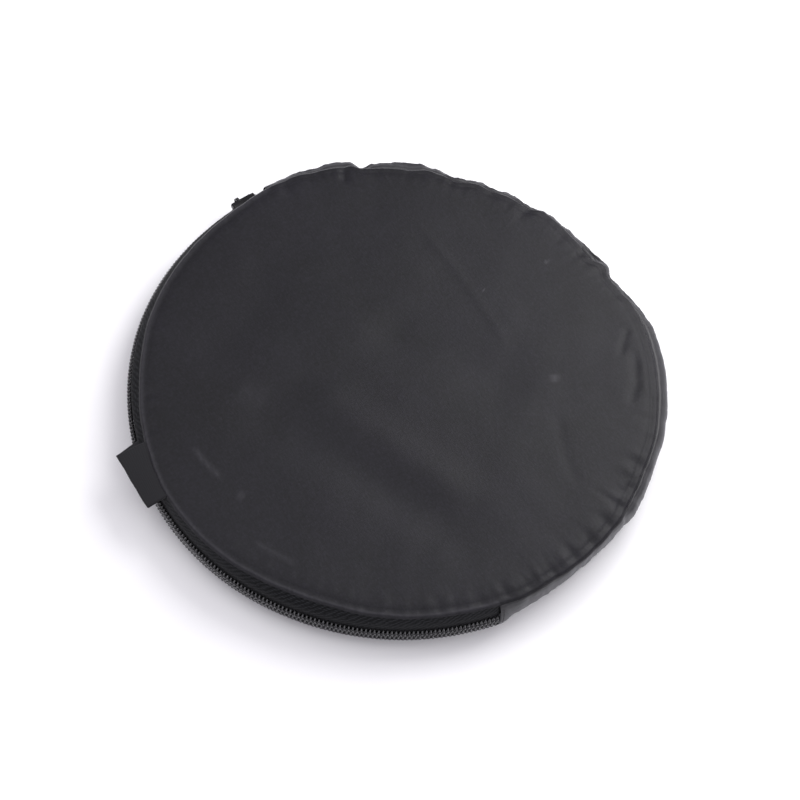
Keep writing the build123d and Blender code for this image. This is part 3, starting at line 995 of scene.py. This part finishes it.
def stitch_line(name, count, place):
    """A row of stitches: place(k) gives each one's middle, its direction and the cloth's normal."""
    bm = bmesh.new()
    for index in range(count):
        middle, along, normal = place(index)
        first = len(bm.verts)
        bmesh.ops.create_circle(bm, segments=6, radius=STITCH_WIRE * MM)
        bm.verts.ensure_lookup_table()
        ring = bm.verts[first:]
        bmesh.ops.scale(bm, verts=ring, vec=(STITCH_NECK, STITCH_NECK, STITCH_NECK))
        side = along.cross(normal)
        turn = Matrix((side, normal, along)).transposed().to_4x4()
        loops = [ring]
        for _ in range(4):
            edges = [e for e in bm.edges if all(v in loops[-1] for v in e.verts)]
            grown = bmesh.ops.extrude_edge_only(bm, edges=edges)["geom"]
            loops.append([g for g in grown if isinstance(g, bmesh.types.BMVert)])
        for share, verts in zip((-1.0, -0.7, 0.0, 0.7, 1.0), loops):
            fat = 1.0 if abs(share) < 1 else STITCH_NECK
            lift = (0.55 * (1 - share**2) - 0.4) * STITCH_WIRE * MM
            stand = Vector((0, lift, share * STITCH_LENGTH / 2 * MM))
            centre = sum((v.co for v in verts), Vector()) / len(verts)
            for v in verts:
                v.co = (v.co - centre) * (fat / STITCH_NECK) + stand
        every = [v for verts in loops for v in verts]
        for ends in (loops[0], loops[-1]):
            bmesh.ops.contextual_create(bm, geom=ends)
        bmesh.ops.transform(bm, matrix=Matrix.Translation(middle) @ turn, verts=every)
    return piece(name, bm, THREAD)


def end_stitches(name, azimuth):
    """The row of stitches that closes the gusset's folded end over the zip."""

    def place(index):
        height = 2.6 + (THICKNESS - 4.4) * (index + 0.5) / END_STITCHES
        here = placed(azimuth, *gusset_place(azimuth, height / THICKNESS))
        above = placed(azimuth, *gusset_place(azimuth, (height + 0.5) / THICKNESS))
        along = (above - here).normalized()
        side = Vector((-here.y, here.x, 0)).normalized()
        return here, along, side.cross(along).normalized() * -1

    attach(stitch_line(name, END_STITCHES, place), "pouch")


# ---- Folded reflector ----

LOOP_PITCH = 6.3
CASING_RADIUS = 92.9
CASING_HALF_HEIGHT = 2.8
CASING_HALF_WIDTH = 1.5
CLOTH_EDGE = 91.4
HOOP_START = 215  # azimuth where the first turn begins
HOOP_CROSSING = 3.4  # how far inside the other turns the hoop climbs back up
BAND_HALF_THICKNESS = 0.4
BAND_HALF_WIDTH = 2.0
BUNDLE_HALF = 2.1


def hoop_path(u):
    """Azimuth, radius and height of the hoop: three turns, each a level lower, then back up to
    the first, inside the other two."""
    turn = (u % 1.0) * 3
    azimuth = 360 * turn + HOOP_START
    level = 1.0
    for crossing in (1.0, 2.0):
        level -= ease((turn - crossing + 0.09) / 0.18)
    level += 2 * ease((turn - 2.82) / 0.18)
    inside = HOOP_CROSSING * sin(pi * clamp01((turn - 2.80) / 0.20))
    height = MIDDLE + LOOP_PITCH * level * 0.985
    return azimuth, CASING_RADIUS - inside, height


def casing_place(u, v):
    """The edge tape's rounded section round the hoop."""
    azimuth, radius, height = hoop_path(u)
    turn = 2 * pi * v
    across = abs(cos(turn)) ** 0.5 * (1 if cos(turn) > 0 else -1)
    upright = abs(sin(turn)) ** 0.5 * (1 if sin(turn) > 0 else -1)
    pucker = 0.12 * ripple(azimuth * 0.55, v * 3.0, 20.0)
    return placed(
        azimuth, radius + CASING_HALF_WIDTH * across + pucker,
        height + CASING_HALF_HEIGHT * upright,
    )


def band_place(u, v):
    """The steel band inside the tape."""
    azimuth, radius, height = hoop_path(u)
    corner = ((1, 1), (-1, 1), (-1, -1), (1, -1))[int(round(v * 4)) % 4]
    return placed(
        azimuth, radius + BAND_HALF_THICKNESS * corner[0], height + BAND_HALF_WIDTH * corner[1]
    )


def crumpled(level, face, depth, seed):
    """A folded cloth's upper or lower face: pleats that swirl in towards the middle."""

    def place(azimuth, share):
        radius = share * CLOTH_EDGE
        swirl = azimuth + 55 * (1 - share)
        turn = radians(swirl)
        x, y = cos(turn), sin(turn)
        gathers = abs(ripple(x * 2.4, y * 2.4, seed + radius * 0.006))
        small = abs(ripple(x * 6.5, y * 6.5, seed + 4 + radius * 0.012))
        aside = radians(azimuth)
        soft = ripple(radius * cos(aside) / 16, radius * sin(aside) / 16, seed)
        inside = ease(radius / 14) * ease((CLOTH_EDGE - radius) / 3 + 0.1)
        dip = depth * (1.5 * gathers + 0.8 * small + 0.35 * soft) * inside
        return radius, level - face * dip

    return place


def cloth_bundle(name, node_name, finish, slot, level, seed):
    """One cloth of the set, folded into a flat bundle inside its loop of the hoop."""
    rows = spread(0.0, 1.0, 36)
    top = spun(rows, crumpled(level + BUNDLE_HALF, 1, 1.5, seed), steps=300)
    low = spun(rows, crumpled(level - BUNDLE_HALF, -1, 1.5, seed + 9), steps=300)
    scrap = bpy.data.meshes.new("scrap")
    low.to_mesh(scrap)
    low.free()
    top.from_mesh(scrap)
    bpy.data.meshes.remove(scrap)
    rims = [e for e in top.edges if e.is_boundary]
    bmesh.ops.bridge_loops(top, edges=rims)
    made = piece(name, top, finish)
    rides(made, "reflector", slot, node_name)


def make_reflector():
    casing = piece("reflector_casing", bent_grid(1080, 12, casing_place, True, True), BINDING)
    rides(casing, "reflector", "casing_tape", "hoop_casing")
    band = piece("reflector_hoop", bent_grid(720, 4, band_place, True, True), STEEL)
    rides(band, "reflector", "spring_steel", "spring_hoop")
    layers = (
        ("silver_bundle", "cover_silver_white", SILVER, "silver_cloth", 1, 31.0),
        ("diffuser_bundle", "diffuser_cloth", DIFFUSER, "diffuser_cloth", 0, 47.0),
        ("gold_bundle", "cover_gold_black", GOLD, "gold_cloth", -1, 63.0),
    )
    for name, node_name, cloth, slot, step, seed in layers:
        cloth_bundle(name, node_name, cloth, slot, MIDDLE + step * LOOP_PITCH * 0.95, seed)


def dress_cad_nodes():
    """Gives the CAD nodes that stay in view their materials."""
    finishes = {
        "seam_binding_lower": BINDING,
        "zip_top_stops": ZINC, "zip_bottom_stop": ZINC, "hoop_ferrule": FERRULE,
        "cover_zip_chain": BINDING, "cover_zip_slider": ZINC,
    }
    for name, finish in finishes.items():
        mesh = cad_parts[name].data
        mesh.materials.clear()
        mesh.materials.append(finish)


# ---- Floor, light and camera ----


def make_stage():
    bm = bmesh.new()
    bmesh.ops.create_grid(bm, x_segments=2, y_segments=2, size=3.0)
    floor = piece("floor", bm, floor_paper(), upwards)
    world = bpy.data.worlds.new("studio")
    bpy.context.scene.world = world
    world.use_nodes = True
    background = world.node_tree.nodes["Background"]
    background.inputs["Color"].default_value = linear("#f3eff9")
    background.inputs["Strength"].default_value = 0.68


def softbox(name, azimuth, elevation, distance, size, power):
    """A square area light that faces the pouch."""
    data = bpy.data.lights.new(name, "AREA")
    data.shape = "SQUARE"
    data.size = size
    data.energy = power
    lamp = bpy.data.objects.new(name, data)
    turn, rise = radians(azimuth), radians(elevation)
    place = Vector((cos(turn) * cos(rise), sin(turn) * cos(rise), sin(rise))) * distance
    lamp.location = place
    lamp.rotation_euler = (-place).to_track_quat("-Z", "Y").to_euler()
    bpy.context.scene.collection.objects.link(lamp)


def set_tones():
    """Shows tones as they are, so that the floor reads as white paper."""
    bpy.context.scene.view_settings.view_transform = "Standard"


def make_camera():
    """The view from above the zip's right half, with the camera rolled a little."""
    azimuth, elevation, roll = radians(52.8), radians(60.6), radians(6.8)
    distance = 739.3
    shift_right, shift_up = 2.05, -4.42
    back = Vector((sin(azimuth) * cos(elevation), -cos(azimuth) * cos(elevation), sin(elevation)))
    right = Vector((cos(azimuth), sin(azimuth), 0))
    up = back.cross(right)
    aim = Vector((0, 0, MIDDLE)) + right * shift_right + up * shift_up
    data = bpy.data.cameras.new("camera")
    data.lens = 85
    camera = bpy.data.objects.new("camera", data)
    facing = Matrix((right, up, back)).transposed().to_4x4()
    camera.matrix_world = (
        Matrix.Translation((aim + back * distance) * MM) @ facing @ Matrix.Rotation(roll, 4, "Z")
    )
    bpy.context.scene.collection.objects.link(camera)
    bpy.context.scene.camera = camera


make_camera()
set_tones()
make_stage()
softbox("key", azimuth=100, elevation=48, distance=0.62, size=0.4, power=3.0)
softbox("left_fill", azimuth=225, elevation=60, distance=1.3, size=1.0, power=4.0)
softbox("right_fill", azimuth=15, elevation=55, distance=1.3, size=1.0, power=3.5)

make_top_panel()
make_upper_binding()
make_bottom_panel()
make_gusset()
make_zip()
make_slider()
make_carry_loop()
end_stitches("zip_end_stitches", ZIP_END + 0.7)
end_stitches("zip_start_stitches", ZIP_START - 0.7)
make_reflector()
dress_cad_nodes()
